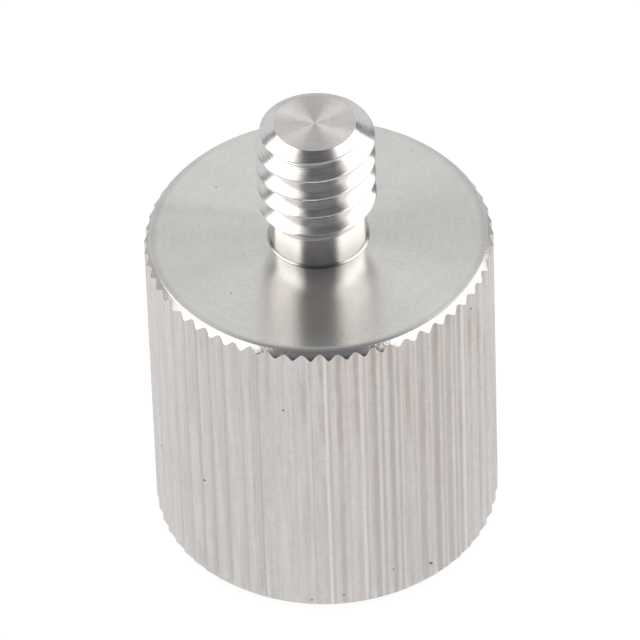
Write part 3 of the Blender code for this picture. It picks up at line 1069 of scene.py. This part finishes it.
# %% [markdown]
# ## The diffusers overhead
# Polished steel has no look of its own: it shows the studio. The reflections in the photograph tell of two
# large bright cloths above, left and right, with a dark gap between them that widens towards the camera.
# Two area lamps would have hard edges and even light, so one large sheet glows in a pattern instead: each
# cloth fades in from the gap and ends at a slanting rear edge. The sheet only adds light. The camera does
# not see it, it throws no shadow, and the room behind shows through where it is dark.

# %% The sheet and the gap between the two cloths
CEILING_HEIGHT = 500 * MM
CEILING_REACH = 2.2
NARROWEST_GAP = 0.18
WIDEST_OVERHEAD = 0.51
LEFT_NARROWER = 0.05
OVERHEAD_GAP_LINE = (-0.88, 0.11)
FRONT_GAP_LINE = (-1.1, -0.42)
LEFT_RAMP = 0.38
RIGHT_RAMP = 0.48

clear_selection()
bpy.ops.mesh.primitive_plane_add(size=2 * CEILING_REACH * CEILING_HEIGHT, location=(0, 0, 0))
diffusers = bpy.context.object
diffusers.name = "diffusers"
for corner in diffusers.data.vertices:
    corner.co.z = CEILING_HEIGHT + BARREL_HEIGHT

sheet_light = bpy.data.materials.new("sheet_light")
sheet_light.use_nodes = True
tree = sheet_light.node_tree
tree.nodes.clear()
ceiling_place = add_node(tree, "ShaderNodeSeparateXYZ")
tree.links.new(add_node(tree, "ShaderNodeTexCoord").outputs["Object"], ceiling_place.inputs[0])
across = calculate(tree, "DIVIDE", ceiling_place.outputs[0], CEILING_HEIGHT)
along = calculate(tree, "DIVIDE", ceiling_place.outputs[1], CEILING_HEIGHT)
aside = size_of(tree, across)
is_left = calculate(tree, "LESS_THAN", across, 0.0)
widest_overhead = on_line(tree, is_left, -LEFT_NARROWER, WIDEST_OVERHEAD)
overhead_gap = calculate(tree, "MINIMUM", on_line(tree, along, *OVERHEAD_GAP_LINE), widest_overhead)
front_gap = on_line(tree, along, *FRONT_GAP_LINE)
gap = calculate(tree, "MAXIMUM", overhead_gap, front_gap)
gap = calculate(tree, "MAXIMUM", gap, NARROWEST_GAP)
ramp = on_line(tree, is_left, LEFT_RAMP - RIGHT_RAMP, RIGHT_RAMP)
beside_gap = calculate(tree, "DIVIDE", difference(tree, aside, gap), ramp, clamp=True)
print("sheet:", round(2 * CEILING_REACH * CEILING_HEIGHT, 1), "m wide")

# %% The rear edge and the glow
SHEET_STRENGTH = 2.45
WALL_STRENGTH = 1.6
WARM_LIGHT = (1.0, 0.975, 0.95)
COOL_DARK = (0.985, 0.975, 1.05)
SOFT_EDGE = 0.12
LEFT_REAR_LINE = (0.187, 0.46)
RIGHT_REAR_LINE = (0.352, 0.609)
left_rear = on_line(tree, aside, *LEFT_REAR_LINE)
right_rear = on_line(tree, aside, *RIGHT_REAR_LINE)
rear = total(tree, right_rear, product(tree, is_left, difference(tree, left_rear, right_rear)))
before_rear = remap(tree, difference(tree, rear, along), -SOFT_EDGE / 4, SOFT_EDGE / 4)
towards_wall = remap(tree, aside, 1.0, CEILING_REACH, SHEET_STRENGTH, WALL_STRENGTH)
glow = add_node(tree, "ShaderNodeEmission", Color=(*WARM_LIGHT, 1))
tree.links.new(product(tree, beside_gap, before_rear, towards_wall), glow.inputs["Strength"])
clear = add_node(tree, "ShaderNodeBsdfTransparent")
lit_cloth = add_node(tree, "ShaderNodeAddShader")
tree.links.new(clear.outputs[0], lit_cloth.inputs[0])
tree.links.new(glow.outputs[0], lit_cloth.inputs[1])
output = add_node(tree, "ShaderNodeOutputMaterial")
tree.links.new(lit_cloth.outputs[0], output.inputs["Surface"])
diffusers.data.materials.append(sheet_light)
diffusers.visible_camera = False
diffusers.visible_shadow = False
print("nodes in the sheet's light:", len(tree.nodes))

# %% [markdown]
# ## The room
# Below the cloths the steel shows a grey room, a pale backdrop behind the object, and a bright wall on
# each side, with dark gaps between wall and backdrop. Those gaps make the dark patches beside the stud's
# bright flanks. Walls of geometry would shade the table, so the world's colour is set by the direction: a
# bearing in degrees, 0 away from the camera, and a height from 0 at the horizon to 1 overhead.

# %% Backdrop and walls by direction
BACKDROP_LEFT = (-57, -48)
BACKDROP_RIGHT = (38, 44)
BACKDROP_TOP = (0.78, 0.91)
LEFT_WALL_FRONT = (-142, -134)
LEFT_WALL_BACK = (-90, -85)
LEFT_WALL_LEAN = -50.0
RIGHT_WALL_BACK = (55, 61)
RIGHT_WALL_FRONT = (134, 142)
WALL_TOP = (0.45, 0.6)


def rising(tree, value, limits):
    """0 below both limits and 1 above them."""
    return remap(tree, value, *limits)


def falling(tree, value, limits):
    """1 below both limits and 0 above them."""
    return remap(tree, value, *limits, 1.0, 0.0)


world = bpy.data.worlds.new("studio")
bpy.context.scene.world = world
world.use_nodes = True
tree = world.node_tree
tree.nodes.clear()
direction = add_node(tree, "ShaderNodeSeparateXYZ")
tree.links.new(add_node(tree, "ShaderNodeTexCoord").outputs["Generated"], direction.inputs[0])
across, along, height = direction.outputs
bearing = calculate(tree, "ARCTAN2", across, along)
bearing = calculate(tree, "DIVIDE", bearing, math.radians(1))
backdrop = product(tree, rising(tree, bearing, BACKDROP_LEFT), falling(tree, bearing, BACKDROP_RIGHT))
backdrop = product(tree, backdrop, falling(tree, height, BACKDROP_TOP))
left_edge = on_line(tree, height, LEFT_WALL_LEAN, bearing)
left_wall = product(tree, rising(tree, bearing, LEFT_WALL_FRONT), falling(tree, left_edge, LEFT_WALL_BACK))
right_wall = product(tree, rising(tree, bearing, RIGHT_WALL_BACK), falling(tree, bearing, RIGHT_WALL_FRONT))
walls = product(tree, total(tree, left_wall, right_wall), falling(tree, height, WALL_TOP))
print("backdrop: from", BACKDROP_LEFT[1], "to", BACKDROP_RIGHT[0], "degrees")

# %% Colours of the room
ROOM_STRENGTH = 0.21
DARKEST_STRENGTH = 0.13
OVERHEAD_STRENGTH = 0.28
BACKDROP_STRENGTH = 0.85
NEAR_TABLE_STRENGTH = 0.58
BELOW_SHEETS_STRENGTH = 0.50
HIGH_UP = (0.70, 0.85)


def scaled(colour, strength):
    """A colour at a strength, as three numbers."""
    return tuple(part * strength for part in colour)


overhead = rising(tree, height, (0.92, 0.97))
beside_backdrop = rising(tree, along, (-0.2, 0.1))
near_table = product(tree, beside_backdrop, falling(tree, height, (0.10, 0.22)))
below_sheets = product(tree, beside_backdrop, rising(tree, height, (0.55, 0.66)))
below_sheets = product(tree, below_sheets, falling(tree, height, HIGH_UP))
dark_colours = (scaled(COOL_DARK, ROOM_STRENGTH), scaled(COOL_DARK, DARKEST_STRENGTH))
room = mix_colours(tree, rising(tree, height, HIGH_UP), *dark_colours)
for share, colour, strength in (
    (overhead, COOL_DARK, OVERHEAD_STRENGTH),
    (near_table, COOL_DARK, NEAR_TABLE_STRENGTH),
    (below_sheets, WARM_LIGHT, BELOW_SHEETS_STRENGTH),
    (backdrop, (1, 1, 1), BACKDROP_STRENGTH),
    (walls, WARM_LIGHT, WALL_STRENGTH),
):
    room = mix_colours(tree, share, room, scaled(colour, strength))
path = add_node(tree, "ShaderNodeLightPath")
camera_ray = path.outputs["Is Camera Ray"]
shows_backdrop = calculate(tree, "MAXIMUM", camera_ray, path.outputs["Is Transmission Ray"])
background = add_node(tree, "ShaderNodeBackground")
tree.links.new(mix_colours(tree, shows_backdrop, room, (1, 1, 1)), background.inputs["Color"])
output = add_node(tree, "ShaderNodeOutputWorld")
tree.links.new(background.outputs[0], output.inputs["Surface"])
print("nodes in the world:", len(tree.nodes))

# %% [markdown]
# ## The table
# The table is white paper. It could be a plain diffuse sheet, but then its white would depend on the lamps.
# So the camera sees it as white with a trace of the object's shadow, and the steel sees it as paper that is
# lit by place: bright beside the object, darker far in front and behind, with a painted shadow of the object
# just behind it, and darkest where the gaps between backdrop and walls meet it. It lies a hair below the
# underside, so that no two faces share a plane.

# %% How brightly the paper is lit
TABLE_SIZE = 3.0
TABLE_HEIGHT = -0.02 * MM
FAR_FRONT_STRENGTH = 0.4
NEAR_STRENGTH = 0.89
SIDE_STRENGTH = 1.5
BEHIND_SHADOW_STRENGTH = 0.54
FAR_BEHIND_STRENGTH = 0.83
GAP_SHARE = 0.75
FRONT_REACH = (-100 * MM, -35 * MM)
SIDE_REACH = (40 * MM, 90 * MM)
BESIDE_START = (-10 * MM, 15 * MM)
BESIDE_SLOPE = 0.9
BEHIND_START = (28 * MM, 46 * MM)
BEHIND_REACH = (46 * MM, 150 * MM)

clear_selection()
bpy.ops.mesh.primitive_plane_add(size=TABLE_SIZE, location=(0, 0, TABLE_HEIGHT))
table = bpy.context.object
table.name = "table"
table_paper = bpy.data.materials.new("table_paper")
table_paper.use_nodes = True
tree = table_paper.node_tree
tree.nodes.clear()
table_place = add_node(tree, "ShaderNodeSeparateXYZ")
tree.links.new(add_node(tree, "ShaderNodeTexCoord").outputs["Object"], table_place.inputs[0])
table_x, table_y = table_place.outputs[0:2]
lit_front = remap(tree, table_y, *FRONT_REACH, FAR_FRONT_STRENGTH, NEAR_STRENGTH)
beside = rising(tree, on_line(tree, table_y, BESIDE_SLOPE, size_of(tree, table_x)), BESIDE_START)
far_side = remap(tree, size_of(tree, table_x), *SIDE_REACH, NEAR_STRENGTH, SIDE_STRENGTH)
lit_paper = total(tree, lit_front, product(tree, beside, difference(tree, far_side, lit_front)))
behind = rising(tree, table_y, BEHIND_START)
# Painted shadow: behind the object the paper is darker, and it lightens further back.
rear_paper_and_shadow = remap(tree, table_y, *BEHIND_REACH, BEHIND_SHADOW_STRENGTH, FAR_BEHIND_STRENGTH)
print("table:", TABLE_SIZE, "m square")

# %% The rear of the table, and its paper
SHADOW_SHARE = 0.12
SEEN_STRENGTH = 1.06
PAPER_COLOUR = (0.8, 0.8, 0.8, 1)
table_bearing = calculate(tree, "DIVIDE", calculate(tree, "ARCTAN2", table_x, table_y), math.radians(1))
in_backdrop = product(
    tree, rising(tree, table_bearing, BACKDROP_LEFT), falling(tree, table_bearing, BACKDROP_RIGHT)
)
in_left_wall = falling(tree, table_bearing, LEFT_WALL_BACK)
in_walls = total(tree, in_left_wall, rising(tree, table_bearing, RIGHT_WALL_BACK), clamp=True)
in_light = total(tree, in_backdrop, in_walls, clamp=True)
in_gap = product(tree, behind, difference(tree, 1.0, in_light))
behind = product(tree, behind, difference(tree, 1.0, in_walls))
lit_paper = total(tree, lit_paper, product(tree, behind, difference(tree, rear_paper_and_shadow, lit_paper)))
lit_paper = product(tree, lit_paper, on_line(tree, in_gap, GAP_SHARE - 1, 1.0))
path = add_node(tree, "ShaderNodeLightPath")
camera_ray = path.outputs["Is Camera Ray"]
white = add_node(tree, "ShaderNodeEmission")
seen_paper = product(tree, camera_ray, SEEN_STRENGTH)
tree.links.new(calculate(tree, "MAXIMUM", lit_paper, seen_paper), white.inputs["Strength"])
seen = calculate(tree, "MAXIMUM", path.outputs["Is Glossy Ray"], path.outputs["Is Transmission Ray"])
seen = calculate(tree, "MAXIMUM", camera_ray, seen)
paper = add_node(tree, "ShaderNodeBsdfDiffuse", Color=PAPER_COLOUR)
blend = add_node(tree, "ShaderNodeMixShader")
tree.links.new(product(tree, seen, 1 - SHADOW_SHARE), blend.inputs[0])
tree.links.new(paper.outputs[0], blend.inputs[1])
tree.links.new(white.outputs[0], blend.inputs[2])
output = add_node(tree, "ShaderNodeOutputMaterial")
tree.links.new(blend.outputs[0], output.inputs["Surface"])
table.data.materials.append(table_paper)
print("nodes in the table's paper:", len(tree.nodes))
